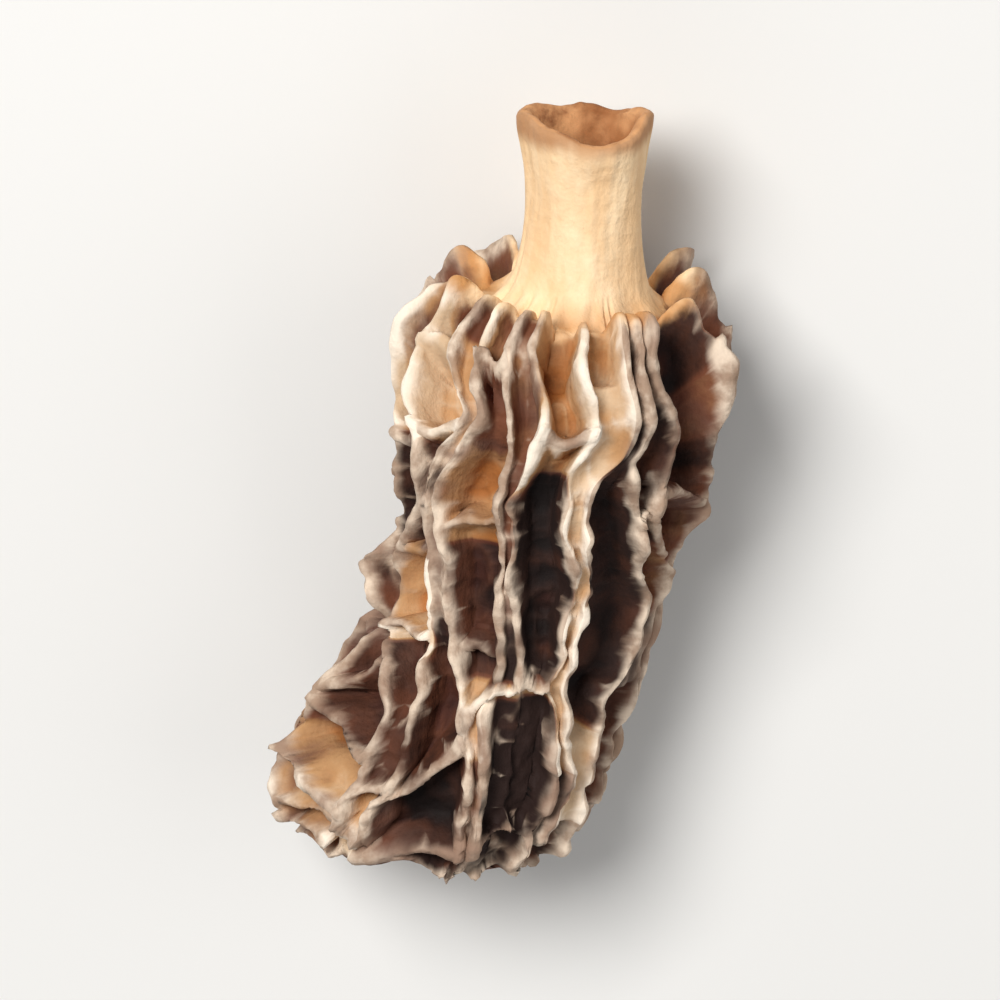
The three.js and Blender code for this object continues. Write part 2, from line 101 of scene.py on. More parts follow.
# How the photograph shows the mushroom: its scale, where it shows the join of stem and cap (pixels from
# its left and from its top), and how steeply it looks down on the mushroom from the stem's side.
MM_PER_PIXEL = 0.34
JOIN_SEEN = (395, 831.5)
SIGHT = np.radians(69)

# Edges of the ribs that the photograph shows, from the left outline to the right one, in its pixels.
RIBS = 17
SEEN_RIBS = [
    [[371.2, 834], [369.9, 838], [369.8, 842], [370.8, 846.5], [370.2, 851], [369.6, 855], [370, 859],
      [369.3, 864], [368.6, 870], [366, 875], [362.5, 879], [359.3, 883], [356.5, 888], [355.2, 892],
      [355.5, 897], [357, 903]],
    [[373.6, 834], [373, 838], [372.6, 842], [373.5, 846], [374.6, 850], [374.2, 854], [373.6, 858],
      [371.5, 861.5], [370.6, 866], [370, 872], [369.3, 878], [368.8, 884], [368.6, 888], [366.6, 892],
      [364.5, 897], [362, 903]],
    [[379.3, 834], [379, 838], [379.8, 842], [381, 846], [378.6, 849.5], [376.6, 853], [375.5, 857],
      [375.6, 861], [376.3, 865], [376.3, 870], [376, 874], [374.6, 878], [374.3, 881.5], [373, 885],
      [371.8, 890], [370, 895], [367.5, 900], [365, 905]],
    [[382.3, 834], [381.8, 837], [381.6, 841], [382.4, 845], [379.8, 849], [377.8, 853], [376.9, 857],
      [377.2, 861], [378.3, 865], [378.3, 870], [378.2, 874], [379.2, 878], [379.8, 882], [380.5, 887],
      [381, 893], [381, 899], [379.5, 905]],
    [[386.6, 835], [386, 838], [386, 844], [386, 850], [385.3, 856], [385, 860], [385.2, 866], [385.2, 872],
      [385.3, 878], [384.8, 882], [383.2, 886], [383, 890], [383.3, 895], [383, 900], [381.5, 905]],
    [[389.3, 835], [390.2, 839], [391, 843], [391.3, 847], [390, 850.5], [388.4, 853.5], [386.6, 857],
      [386.8, 862], [387, 868], [387.2, 874], [387.8, 879], [388, 884], [388, 890], [388, 896], [386.5, 902]],
    [[396.4, 837], [396.8, 841], [397.3, 845], [397, 848.5], [395.8, 851.5], [394.8, 855], [394.1, 859],
      [394.2, 863], [395.2, 866], [395.8, 869], [394.6, 872], [393.4, 875], [393.6, 878], [392, 881.5],
      [393, 885], [393.3, 888], [393, 891], [393.2, 895], [391.8, 899], [389.5, 903.5]],
    [[402, 837], [402.5, 842], [403, 846], [402.6, 850], [400, 852.8], [397.6, 855.5], [396.6, 860],
      [397.2, 864], [397.9, 868], [396.9, 872], [395.6, 875.5], [395.4, 878.5], [394, 882], [394.8, 886],
      [395, 891], [394.8, 896], [393, 900]],
    [[403.4, 837], [403.9, 842], [404.2, 847], [403.4, 852], [403.6, 856.5], [404.6, 860.5], [405, 866],
      [405.8, 871], [405, 876], [403.4, 880], [400.6, 883.5], [399.6, 887], [399, 892], [397.5, 896.5],
      [395.5, 901]],
    [[405.6, 837], [407, 840.5], [408.3, 844], [408.8, 848.5], [408.3, 853], [406.8, 857.5], [408, 862],
      [409, 866.5], [408.6, 870], [407, 873.5], [406, 877.5], [405, 881.5], [403.5, 886], [402.6, 890],
      [402, 895], [399.5, 899.5]],
    [[415, 835], [415.6, 839], [415.6, 843], [415.1, 848], [414.6, 853], [413.2, 857], [411.3, 860.5],
      [410.8, 865], [410.9, 868.5], [409, 873], [407.5, 878], [405.8, 883], [404.5, 888], [403.5, 893],
      [401.5, 898]],
]

# Mean directions in degrees of the ribs on the hidden side, and how far they wander. 0 is straight up.
HIDDEN_RIBS = [103, 131, 159, 187, 215, 245]
HIDDEN_WANDER = 5
LEAST_GAP_DEGREES = 5

# Ribs across a pit that the photograph shows: the pit (numbered as the rib on its left), the two ends in
# the photograph's pixels, and the height.
SEEN_CROSS_RIBS = [
    [0, [370.8, 847.5], [373.6, 847], 0.8],
    [0, [369.8, 859.5], [373, 859.5], 0.8],
    [0, [361, 882.5], [368.8, 875.5], 0.85],
    [0, [361, 883.5], [367, 891], 0.85],
    [1, [373.6, 833], [379.3, 832.5], 0.7],
    [1, [373.5, 846.5], [381, 847], 0.85],
    [1, [370.8, 862.5], [376, 861.5], 0.75],
    [1, [370.2, 873], [376.2, 874.5], 0.95],
    [2, [370.5, 897.5], [380.8, 888], 0.85],
    [3, [382, 837], [386, 837.5], 0.9],
    [3, [382.2, 846.5], [386, 845.5], 0.5],
    [3, [377, 859.5], [385, 858.5], 0.75],
    [3, [378.4, 876], [385.4, 876.8], 0.65],
    [3, [380, 886], [384.8, 882.5], 0.95],
    [4, [384.8, 882.2], [388, 881.3], 0.95],
    [5, [388, 881.3], [392, 881.5], 0.95],
    [5, [391.3, 848.3], [396.6, 848.3], 0.95],
    [8, [404.4, 859.2], [406.8, 858.4], 0.95],
    [9, [408.3, 854.5], [413.8, 856], 0.8],
    [9, [408.8, 869.5], [411, 869], 0.8],
]

# The same on the hidden side and at the tip: the pit, depth, slant over the pit, height.
OTHER_CROSS_RIBS = [
    [0, 22.6, 1.0, 0.95],
    [0, 25.2, -0.8, 0.9],
    [1, 21.6, -1.2, 0.95],
    [1, 24.2, 0.8, 0.95],
    [10, 3.2, 0.8, 0.8],
    [10, 8.4, -1.2, 0.8],
    [10, 13.6, 1.0, 0.75],
    [10, 19.4, -0.8, 0.8],
    [11, 5.6, 1.2, 0.75],
    [11, 10.8, -0.8, 0.8],
    [11, 16.6, 0.8, 0.8],
    [11, 22.4, -0.6, 0.7],
    [12, 3.0, -0.8, 0.8],
    [12, 8.8, 1.2, 0.8],
    [12, 14.4, -1.0, 0.75],
    [12, 20.4, 0.8, 0.75],
    [13, 5.2, 1.0, 0.75],
    [13, 11.6, -1.2, 0.8],
    [13, 17.4, 0.8, 0.8],
    [13, 22.6, 0.6, 0.7],
    [14, 3.6, 0.8, 0.8],
    [14, 9.4, -1.0, 0.8],
    [14, 15.2, 1.2, 0.75],
    [14, 20.8, -0.8, 0.75],
    [15, 6.0, -1.2, 0.75],
    [15, 12.2, 1.0, 0.8],
    [15, 18.0, -0.8, 0.8],
    [16, 3.4, 0.8, 0.8],
    [16, 8.2, -0.8, 0.8],
    [16, 13.0, 1.0, 0.8],
    [16, 17.2, -0.8, 0.75],
    [16, 21.6, 0.8, 0.75],
]

# Places where two ribs run together and the pit between them is filled: pit, from, to, level.
FILLS = [
    [0, 22.2, 24.6, 0.6],
    [1, 21.0, 24.0, 0.6],
    [2, 4.0, 13.4, 0.9],
    [3, 17.8, 23.4, 0.8],
    [4, 7.0, 14.6, 0.75],
    [6, 3.2, 24.6, 0.75],
    [7, -1.0, 3.6, 0.85],
    [7, 18.8, 23.4, 0.8],
    [8, 13.4, 16.6, 0.8],
    [9, 20.5, 23.8, 0.6],
    [11, 24.0, 25.2, 0.8],
    [13, 24.6, 25.6, 0.8],
    [15, 23.4, 24.8, 0.7],
]

# Stretches where a rib is low: the rib, from, to, share of its height that is left.
LOW_STRETCHES = [
    [5, 15.6, 28.5, 0.15],
]

# Flaps of rib edges that stand out further: the rib, depth, half length, extra height.
FLAPS = [
    [0, 13.0, 2.8, 0.8],
    [3, 3.4, 1.0, 0.2],
    [8, 9.4, 1.2, 0.2],
    [12, 14.0, 1.4, 0.2],
    [15, 5.6, 4.0, 0.75],
]

# Tone of the pits that the photograph shows, from nearly black (-1) over ochre (1) to nearly white
# (2.4): pit, from, to, tone. The nearly black tones are dark flesh with painted shade on it.
PIT_TONES = [
    [0, 0.0, 5.6, 0.3],
    [0, 20.6, 29.0, 0.75],
    [1, 0.0, 2.1, -0.1],
    [1, 2.1, 5.4, 1.4],
    [1, 5.4, 10.6, -0.4],
    [1, 10.6, 15.2, 1.0],
    [1, 15.2, 15.9, 2.4],
    [1, 15.9, 22.0, -0.5],
    [1, 22.4, 29.0, 0.8],
    [2, 0.0, 2.4, -0.4],
    [2, 2.4, 5.6, 1.0],
    [2, 15.0, 21.0, -0.5],
    [3, 0.0, 5.0, 0.2],
    [3, 5.0, 9.8, 0.8],
    [3, 9.8, 15.6, -0.6],
    [3, 16.2, 19.4, 1.2],
    [4, 0.0, 5.6, 0.2],
    [4, 5.6, 10.0, 0.1],
    [4, 15.9, 16.7, 1.5],
    [4, 18.4, 29.0, -1.4],
    [5, 0.0, 5.9, 0.9],
    [5, 5.9, 15.6, -0.9],
    [5, 15.8, 16.6, 1.3],
    [5, 16.8, 29.0, -1.4],
    [6, 0.0, 7.0, 1.2],
    [6, 7.0, 20.0, 1.4],
    [7, 0.0, 18.0, -0.8],
    [7, 18.0, 23.6, 1.3],
    [8, 0.0, 9.4, -0.7],
    [8, 9.4, 14.0, 0.3],
    [9, 0.0, 3.2, -0.7],
    [9, 3.2, 5.4, 0.1],
    [9, 5.4, 6.8, -0.7],
    [9, 6.8, 8.6, 0.0],
    [9, 8.6, 14.0, 0.1],
    [16, 21.0, 29.0, 0.8],
]

# Stretches where a rib's edge is nearly white, pale flesh with a painted highlight: the rib, from, to.
WHITE_HIGHLIGHT_STRETCHES = [
    [0, 1.6, 5.6],
    [1, 0.5, 5.6],
    [2, 10.6, 15.6],
    [3, 0.6, 2.6],
    [5, 3.6, 6.6],
    [6, 0.5, 5.4],
    [7, 12.0, 15.0],
]
WHITE_HIGHLIGHT_TONE = 2.4

# Depth at which each rib ends near the tip. There it splits and runs to the ribs that go on longer.
RIB_ENDS = [
    26.7, 23.6, 25.5, 24.4, 27.0, 22.9, 25.8, 24.0, 26.5,
    23.3, 25.4, 24.3, 26.9, 23.8, 25.6, 24.1, 26.3,
]
RIB_END_FADE = 0.9
RIB_END_LEFT = 0.2
BRANCH_LENGTH = 1.2
BRANCH_HEIGHT = 0.8

# Section of the ribs: half widths at the foot and of the flat edge, width of the fall beside the edge, and
# how hollow that fall is.
RIB_HALF_FOOT = 0.45
BLADE_HALF_EDGE = 0.08
BLADE_FALL = 0.44
BLADE_HOLLOW = 1.4
CROSS_HALF_EDGE = 0.1
CROSS_FALL = 0.47
CROSS_HOLLOW = 1.2

# Pits narrower than the shallow width are filled up by a share that stays under the most.
SHALLOW_PIT_WIDTH = 0.9
SHALLOW_PIT_LEVEL = 0.55
MOST_PIT_LEVEL = 0.65

# Rib edges stand at a mean height that changes by a part, and lean to the side. At the tip all meet in
# one level.
EDGE_HEIGHT = 0.88
EDGE_HEIGHT_CHANGE = 0.12
EDGE_LEAN_DEGREES = 1.5
TIP_LEVEL = 0.6

# Slope of the axis toward -X in degrees, by depth.
AXIS_SLOPES = [
    [-12, 2.5],
    [-4, 3],
    [0, 9],
    [4, 6],
    [7, 7],
    [9, 13],
    [12, 10],
    [15, 16],
    [17.5, 34],
    [20, 24],
    [23, 17],
    [26, 12],
    [30, 6],
    [34, 6],
]

# Share of the axis's slope that the cross-sections are turned by.
SECTION_TURN = 0.35

# Grid: rows from the tip outside, over the rim, to the tip inside, and columns round the axis.
CAP_ROWS = 230
STEM_ROWS = 42
RIM_ROWS = 6
HOLLOW_ROWS = 15
WALL_COLUMNS = (0.0, 0.2, 0.4, 0.6, 0.8)
PIT_COLUMNS = 11

# Colours as on a screen, from 0 to 255: pit floors, sides of the pits, rib edges, stem, mouth and floor.
# The darkest pit floor and pit side colours are dark brown flesh with painted shade on it.
PIT_DARK_SHADE = (20, 9, 6)
PIT_BROWN = (76, 34, 20)
PIT_OCHRE = (174, 110, 54)
PIT_PALE = (190, 148, 104)
SIDE_DARK_SHADE = (38, 20, 14)
SIDE_BROWN = (110, 62, 40)
SIDE_GREY = (104, 74, 62)
SIDE_OCHRE = (186, 140, 94)
SIDE_PALE = (206, 176, 142)
RIB_GREY = (164, 136, 114)
# The cream and white rib edge colours are pale flesh with a painted highlight on it.
RIB_CREAM_HIGHLIGHT = (226, 205, 182)
RIB_BROWN = (152, 122, 102)
RIB_WHITE_HIGHLIGHT = (246, 230, 210)
STEM_TAN = (236, 198, 150)
STEM_CREAM = (252, 226, 188)
STEM_BAND = (226, 180, 128)
STEM_STAIN = (188, 126, 62)
RIM_BROWN = (168, 112, 68)
MOUTH_BROWN = (150, 94, 52)
MOUTH_TAN = (212, 156, 106)
MOUTH_SPECK = (128, 76, 42)
# Painted shade deep in the hollow.
HOLLOW_SHADE = (84, 50, 32)
FLOOR_COLOUR = (226, 224, 220)

# Knobs of the skin at the tip, rows beside both tips over which wrinkles fade out, and the radius at which
# the stem's wrinkles are worked out.
KNOBS_DEPTH = 19.5
KNOB_HEIGHT = 0.26
TIP_FADE_ROWS = 12
STEM_WRINKLE_RADIUS = 2.9

# Camera: elevation on the stem's side, distance and lens.
CAMERA_ELEVATION = np.radians(72)
CAMERA_DISTANCE = 0.300
CAMERA_LENS = 235
CAMERA_TARGET = (0.0, -0.0005, 0.0075)


def smooth(value):
    """Cubic step: 3 v^2 - 2 v^3 of the value v kept between 0 and 1."""
    part = np.clip(value, 0, 1)
    return part * part * (3 - 2 * part)


def mix(start, end, part):
    """Straight mix of two values."""
    return start + (end - start) * part


def chance(seed):
    """A number from 0 to 1 that is always the same for the same seed: the fraction of a scaled sine."""
    value = np.sin(np.asarray(seed, float) * 12.9898) * 43758.5453
    return value - np.floor(value)


def wave(depth, seed, long=5.3, short=2.7):
    """Two sine waves of the given lengths added up, 0.6 and 0.4 parts, each with its own random start."""
    slow = np.sin((depth / long + chance(seed)) * 2 * np.pi)
    quick = np.sin((depth / short + chance(seed + 0.5)) * 2 * np.pi)
    return 0.6 * slow + 0.4 * quick


def uneven(place, seed, cell):
    """Random line from -1 to 1: chance values one cell apart, blended by the cubic step between them."""
    steps = np.floor(place / cell)
    inside = smooth(place / cell - steps)
    start = chance(steps * 0.731 + seed)
    return 2 * mix(start, chance((steps + 1) * 0.731 + seed), inside) - 1


def along(table, column, place):
    """Cubic curve through a table's rows, whose slope at each row is that between its neighbours."""
    x = np.array([row[0] for row in table], float)
    y = np.array([row[column] for row in table], float)
    slope = np.concatenate([[y[1] - y[0]], y[2:] - y[:-2], [y[-1] - y[-2]]])
    slope /= np.concatenate([[x[1] - x[0]], x[2:] - x[:-2], [x[-1] - x[-2]]])
    k = np.clip(np.searchsorted(x, place) - 1, 0, len(x) - 2)
    step = x[k + 1] - x[k]
    u = (place - x[k]) / step
    ends = y[k] * (1 + 2 * u) * (1 - u) ** 2 + y[k + 1] * u * u * (3 - 2 * u)
    return ends + step * (slope[k] * u * (1 - u) ** 2 - slope[k + 1] * u * u * (1 - u))


def lumps(points, size, seed):
    """Smooth random field from -1 to 1: chance values at the corners of cubes of a size, blended inside."""
    cell = np.floor(points / size)
    inside = smooth(points / size - cell)
    total = np.zeros(points.shape[:-1])
    for corner in itertools.product((0, 1), repeat=3):
        key = (cell + corner) @ np.array([12.71, 31.17, 7.47]) + seed
        weight = np.prod(np.where(corner, inside, 1 - inside), axis=-1)
        total += weight * chance(key)
    return 2 * total - 1


def bend_angle(depth):
    """Slope of the axis in radians, from its table."""
    return np.radians(along(AXIS_SLOPES, 1, depth))


REACH = np.linspace(-12, 34, 4601)
REACH_SLOPE = bend_angle((REACH[:-1] + REACH[1:]) / 2)
AXIS_X = np.concatenate([[0], np.cumsum(-np.tan(REACH_SLOPE) * (REACH[1] - REACH[0]))])
AXIS_X -= np.interp(0, REACH, AXIS_X)


def bent(radius, depth, radians):
    """Places round the bent axis, whose sideways shift is the running sum of its slope's tangent."""
    angle = SECTION_TURN * bend_angle(depth)
    side = radius * np.sin(radians)
    x = np.interp(depth, REACH, AXIS_X) + side * np.cos(angle)
    y = -depth - side * np.sin(angle)
    return np.stack([x, y, radius * np.cos(radians)], axis=-1)


def seen_place(pixels):
    """Depth and direction of points of the ribs' edges that the photograph shows at these pixels.

    Found by steps: the direction gives the height above the axis, the sight line then gives the depth,
    and the distance from the axis gives the direction again.
    """
    seen_x = (pixels[:, 0] - JOIN_SEEN[0]) * MM_PER_PIXEL
    seen_y = (JOIN_SEEN[1] - pixels[:, 1]) * MM_PER_PIXEL
    places = np.linspace(0.06, 1, 2001)
    edge_radius = mix(along(CAP_PROFILE, 1, places), along(CAP_PROFILE, 3, places), EDGE_HEIGHT)
    edge_depth = mix(along(CAP_PROFILE, 2, places), along(CAP_PROFILE, 4, places), EDGE_HEIGHT)
    depth = np.full(len(pixels), 2.0)
    turn = np.zeros(len(pixels))
    place = np.full(len(pixels), 0.1)
    for _ in range(25):
        radius = np.interp(place, places, edge_radius)
        y = (seen_y + radius * np.cos(turn) * np.cos(SIGHT)) / np.sin(SIGHT)
        axis_y = y + radius * np.sin(turn) * np.sin(SECTION_TURN * bend_angle(depth))
        depth = np.clip(-axis_y, -2, 30)
        place = np.interp(depth, edge_depth, places)
        side = (seen_x - np.interp(depth, REACH, AXIS_X)) / np.cos(SECTION_TURN * bend_angle(depth))
        turn = np.arcsin(np.clip(side / radius, -0.985, 0.985))
    return np.stack([place * CAP_LENGTH, np.degrees(turn)], axis=-1)


def branches(rib, way):
    """The rows of cross ribs in which a rib ends: they run to the next rib that goes on longer."""
    longer = [n for n in range(1, 5) if RIB_ENDS[(rib + way * n) % RIBS] > RIB_ENDS[rib] + 0.5]
    pits = longer[0] if longer else 0
    rows = []
    for n in range(pits):
        pit = (rib + n if way > 0 else rib - n - 1) % RIBS
        depth = RIB_ENDS[rib] + BRANCH_LENGTH * (n + 0.5) / pits
        rows.append((pit, depth, way * BRANCH_LENGTH / pits, BRANCH_HEIGHT))
    return rows


def cross_ribs():
    """Every rib across a pit: pit, depth, slant over the pit, height."""
    rows = [tuple(row) for row in OTHER_CROSS_RIBS]
    for rib in range(RIBS):
        rows += branches(rib, -1) + branches(rib, 1)
    for pit, left, right, height in SEEN_CROSS_RIBS:
        start, end = seen_place(np.array([left, right], float))[:, 0]
        rows.append((pit, (start + end) / 2, end - start, height))
    return rows


def rib_directions(depth):
    """Directions of all rib feet in degrees, kept a least gap apart; the last is the first one turn on."""
    feet = []
    for edge in SEEN_RIBS:
        course = seen_place(np.array(edge, float))
        feet.append(along(course, 1, np.clip(depth, course[0, 0], course[-1, 0])))
    for n, direction in enumerate(HIDDEN_RIBS):
        rib = n + len(SEEN_RIBS)
        feet.append(direction + HIDDEN_WANDER * wave(depth * 0.6, rib + 5.2))
    middle = len(SEEN_RIBS) // 2
    for rib in range(middle + 1, RIBS):
        feet[rib] = np.maximum(feet[rib], feet[rib - 1] + LEAST_GAP_DEGREES)
    for rib in range(middle - 1, -1, -1):
        feet[rib] = np.minimum(feet[rib], feet[rib + 1] - LEAST_GAP_DEGREES)
    return np.stack(feet + [feet[0] + 360], axis=-1)


def column_parts(place):
    """Parts of the way from each rib to the next where the columns stand, close together on the walls."""
    feet = np.radians(rib_directions(place * CAP_LENGTH))
    radius = np.maximum(along(CAP_PROFILE, 1, place), 0.3)
    spacing = (feet[:, 1:] - feet[:, :-1]) * radius[:, None]
    foot = np.minimum(RIB_HALF_FOOT / spacing, 0.3)[..., None]
    wall = np.array(WALL_COLUMNS)
    pit = np.linspace(0, 1, PIT_COLUMNS)
    return np.concatenate([foot * wall, mix(foot, 1 - foot, pit), 1 - foot * wall[:0:-1]], axis=-1)


def rib_heights(depth):
    """Height of each rib's edge over the pit floor: a wave, the flaps, low stretches and ends, unevenness."""
    ribs = np.arange(RIBS)
    heights = EDGE_HEIGHT + EDGE_HEIGHT_CHANGE * wave(depth, ribs + 0.3)
    for rib, at, half_length, extra in FLAPS:
        ragged = 1 + 0.3 * uneven(depth[:, 0], rib + 80.3, 0.9) + 0.15 * uneven(depth[:, 0], rib + 85.7, 0.4)
        heights[:, rib] += extra * ragged * (1 - smooth(np.abs(depth[:, 0] - at) / half_length))
    for rib, start, end, left in LOW_STRETCHES:
        inside = smooth(depth[:, 0] - start) * (1 - smooth(depth[:, 0] - end))
        heights[:, rib] *= mix(1, left, inside)
    heights = heights * mix(1, RIB_END_LEFT, smooth((depth - np.array(RIB_ENDS)) / RIB_END_FADE))
    heights = heights + 0.07 * uneven(depth, ribs + 40.1, 1.1) - 0.06
    return heights + 0.045 * uneven(depth, ribs + 47.3, 0.5)


def blade_share(distance):
    """Share of a rib's height at a distance from its edge: 1 minus the step, to the power of the hollow."""
    return (1 - smooth((distance - BLADE_HALF_EDGE) / BLADE_FALL)) ** BLADE_HOLLOW


def pit_level(depth, spacing, part):
    """Height of the pits' floors: narrow pits are shallow, ribs run across them and fillings close them."""
    middle = 1 - (2 * part - 1) ** 2
    pit_width = spacing - 2 * RIB_HALF_FOOT
    shallow = SHALLOW_PIT_LEVEL * (1 - pit_width / SHALLOW_PIT_WIDTH)
    level = np.clip(shallow, 0.1 * (1 - middle), MOST_PIT_LEVEL)
    level = np.broadcast_to(level, part.shape).copy()
    for pit, at, slant, height in cross_ribs():
        here = part[:, pit]
        off = np.abs(depth - at - slant * (here - 0.5) - 0.15 * np.sin(7 * here + at))
        off = off / np.sqrt(1 + (slant / spacing[:, pit]) ** 2)
        sag = 1.1 - 0.25 * middle[:, pit]
        ridge = height * sag * (1 - smooth((off - CROSS_HALF_EDGE) / CROSS_FALL)) ** CROSS_HOLLOW
        level[:, pit] = np.maximum(level[:, pit], ridge)
    for pit, start, end, height in FILLS:
        inside = smooth(depth - start + 1) * (1 - smooth(depth - end))
        level[:, pit] = np.maximum(level[:, pit], height * (1 - 0.2 * middle[:, pit]) * inside)
    return level


def net_height(depth, spacing, part):
    """Height of the net over the pit floor, 0 to 1, and the same with no rib over 1, which colours it.

    Each is the highest of the blades of the two ribs beside the place and of the pit's own level.
    """
    heights = rib_heights(depth)
    left = heights[..., None]
    right = np.roll(heights, -1, axis=1)[..., None]
    left_share = blade_share(part * spacing)
    right_share = blade_share((1 - part) * spacing)
    blade = np.maximum(left * left_share, right * right_share)
    crest = np.maximum(np.minimum(left, 1) * left_share, np.minimum(right, 1) * right_share)
    level = pit_level(depth, spacing, part)
    return np.maximum(blade, level), np.maximum(crest, level)


def pit_tone(depth, part):
    """Tone of the flesh, from nearly black (-1) over ochre (1) to nearly white (2.4). The darkest tones are
    painted shade on dark flesh, and the white ones a painted highlight on pale flesh.

    Each pit has its own, lighter near the stem and alike at the tip. The white stretches of ribs, pale flesh
    with a painted highlight, lie on the pits' sides.
    """
    pits = np.arange(RIBS)[:, None]
    tone = 0.45 * uneven(depth[..., None], pits + 70.3, 5.0) - 0.5
    tone = tone + 0.9 * (1 - smooth(depth[..., None] / 7))
    tone = np.broadcast_to(tone, part.shape).copy()
    for pit, start, end, value in PIT_TONES:
        inside = smooth((depth - start) / 0.5 + 0.5) * (1 - smooth((depth - end) / 0.5 + 0.5))
        tone[:, pit] = mix(tone[:, pit], value, inside)
    tone = mix(tone, 0, smooth((depth[..., None] - 25) / 3))
    # Ribs painted nearly white, pale flesh with a painted highlight, with the same spread onto the pits'
    # sides beside them.
    for rib, start, end in WHITE_HIGHLIGHT_STRETCHES:
        beside = smooth(depth - start + 0.5) * (1 - smooth(depth - end + 0.5))
        tone[:, rib] = mix(tone[:, rib], WHITE_HIGHLIGHT_TONE, beside * (1 - smooth((part[:, rib] - 0.05) / 0.15)))
        tone[:, rib - 1] = mix(tone[:, rib - 1], WHITE_HIGHLIGHT_TONE, beside * smooth((part[:, rib - 1] - 0.8) / 0.15))
    return tone


def roundness(depth, radians):
    """Slow swellings and dents that keep the cap from being round: two sines round the axis."""
    return 1 + 0.022 * np.sin(2 * radians + 1.1 + 0.12 * depth) + 0.02 * np.sin(3 * radians - 0.3 * depth)


def cap_place(q):
    """Way down the cap of a row, 0 to 1: 0.6 q + 0.4 q squared, so that rows are closer near the stem."""
    return 0.6 * q + 0.4 * q * q


def cap_grid():
    """Outside of the cap, tip first: radius, depth, direction, height on the net and tone.

    Radius and depth are mixed from the floor's and the edge's by the height of the net, and the
    direction from those of the two ribs, plus the lean.
    """
    place = cap_place(np.linspace(1, 0, CAP_ROWS + 1)[1:])
    depth = (place * CAP_LENGTH)[:, None]
    part = column_parts(place)
    feet = rib_directions(place * CAP_LENGTH)
    start, end = feet[:, :-1, None], feet[:, 1:, None]
    floor_radius = along(CAP_PROFILE, 1, place)[:, None, None]
    spacing = np.maximum(np.radians(end - start) * floor_radius, 0.01)
    net, crest = net_height(depth, spacing, part)
    level = mix(net, TIP_LEVEL, smooth((place - 0.95) / 0.05)[:, None, None])
    ribs = np.arange(RIBS)
    lean = EDGE_LEAN_DEGREES * wave(depth + 1.7, ribs + 20.7)
    lean = lean + 1.8 * uneven(depth, ribs + 60.3, 1.4) + 1.0 * uneven(depth, ribs + 65.9, 0.6)
    lean = lean[..., None]
    lean = mix(lean, np.roll(lean, -1, axis=1), part) * level * smooth(depth / 3)[..., None]
    radians = np.radians(mix(start, end, part) + lean)
    radius = mix(floor_radius, along(CAP_PROFILE, 3, place)[:, None, None], level)
    radius = radius * roundness(depth[..., None], radians)
    floor_down = along(CAP_PROFILE, 2, place)[:, None, None]
    down = mix(floor_down, along(CAP_PROFILE, 4, place)[:, None, None], level)
    shape = (len(place), -1)
    tone = pit_tone(depth, part)
    return [part_of.reshape(shape) for part_of in (radius, down, radians, crest, tone)]


def stem_shape(radius, height, radians, part):
    """Stem's cross-section: oval, with flutes that fade up from the ribs and an uneven lip."""
    flute = 0.07 * np.cos(2 * np.pi * part) * (1 - smooth(height / 2.2))
    oval = 0.035 * np.sin(2 * radians + 0.4) + 0.02 * np.sin(5 * radians + 0.6 * height)
    lip = 0.06 * np.sin(3 * radians + 0.9) * smooth((height - 6.5) / 3)
    wavy = 0.3 * np.cos(2 * radians) + 0.13 * np.sin(3 * radians + 0.7) + 0.08 * np.cos(7 * radians)
    rise = -wavy * smooth((height - 7) / 2) * radius / 3
    return radius * (1 + flute + oval + lip), -(height + rise)


def stem_grid():
    """Outside of the stem, from its profile, and its half-round rim: radius, depth and direction."""
    part = column_parts(np.array([0.0]))
    feet = rib_directions(np.array([0.0]))[..., None]
    radians = np.radians(mix(feet[:, :-1], feet[:, 1:], part)).reshape(1, -1)
    part = part.reshape(1, -1)
    q = np.linspace(0, 1, STEM_ROWS + 1)[1:, None]
    turn = np.linspace(0, np.pi, RIM_ROWS + 2)[1:-1, None]
    radius = np.concatenate([along(STEM_PROFILE, 1, q), RIM_RADIUS + RIM_HALF_WIDTH * np.cos(turn)])
    height = np.concatenate([along(STEM_PROFILE, 2, q), RIM_HEIGHT + RIM_RISE * np.sin(turn)])
    radius, depth = stem_shape(radius, height, radians, part)
    return radius, depth, np.broadcast_to(radians, radius.shape)


def hollow_grid(radians, part):
    """Inside of the stem and cap, rim first: radius, depth and direction, from the hollow's profile."""
    q = np.linspace(0, 1, HOLLOW_ROWS + 1)[:-1, None]
    height = along(HOLLOW_PROFILE, 2, q)
    radius, depth = stem_shape(along(HOLLOW_PROFILE, 1, q), height, radians, part * 0 + 0.25)
    return radius, depth, np.broadcast_to(radians, radius.shape)


def laid(points):
    """Points tipped by the lying pitch and moved to the part's frame."""
    x, y, z = np.moveaxis(points, -1, 0)
    turned_y = y * np.cos(LYING_PITCH) - z * np.sin(LYING_PITCH)
    turned_z = y * np.sin(LYING_PITCH) + z * np.cos(LYING_PITCH)
    return np.stack([x, turned_y, turned_z], axis=-1) + JOIN_PLACE


def grid_normals(points):
    """Unit normals of a grid of points that closes round its second axis."""
    across = np.roll(points, -1, axis=1) - np.roll(points, 1, axis=1)
    down = np.gradient(points, axis=0)
    normal = np.cross(across, down)
    return normal / np.maximum(np.linalg.norm(normal, axis=-1, keepdims=True), 1e-9)


def veins(points, size, seed):
    """Net of thin raised lines from 0 to 1: high where a random field of lumps goes through 0."""
    return np.clip(1 - 2.2 * np.abs(lumps(points, size, seed)), 0, 1) ** 1.5


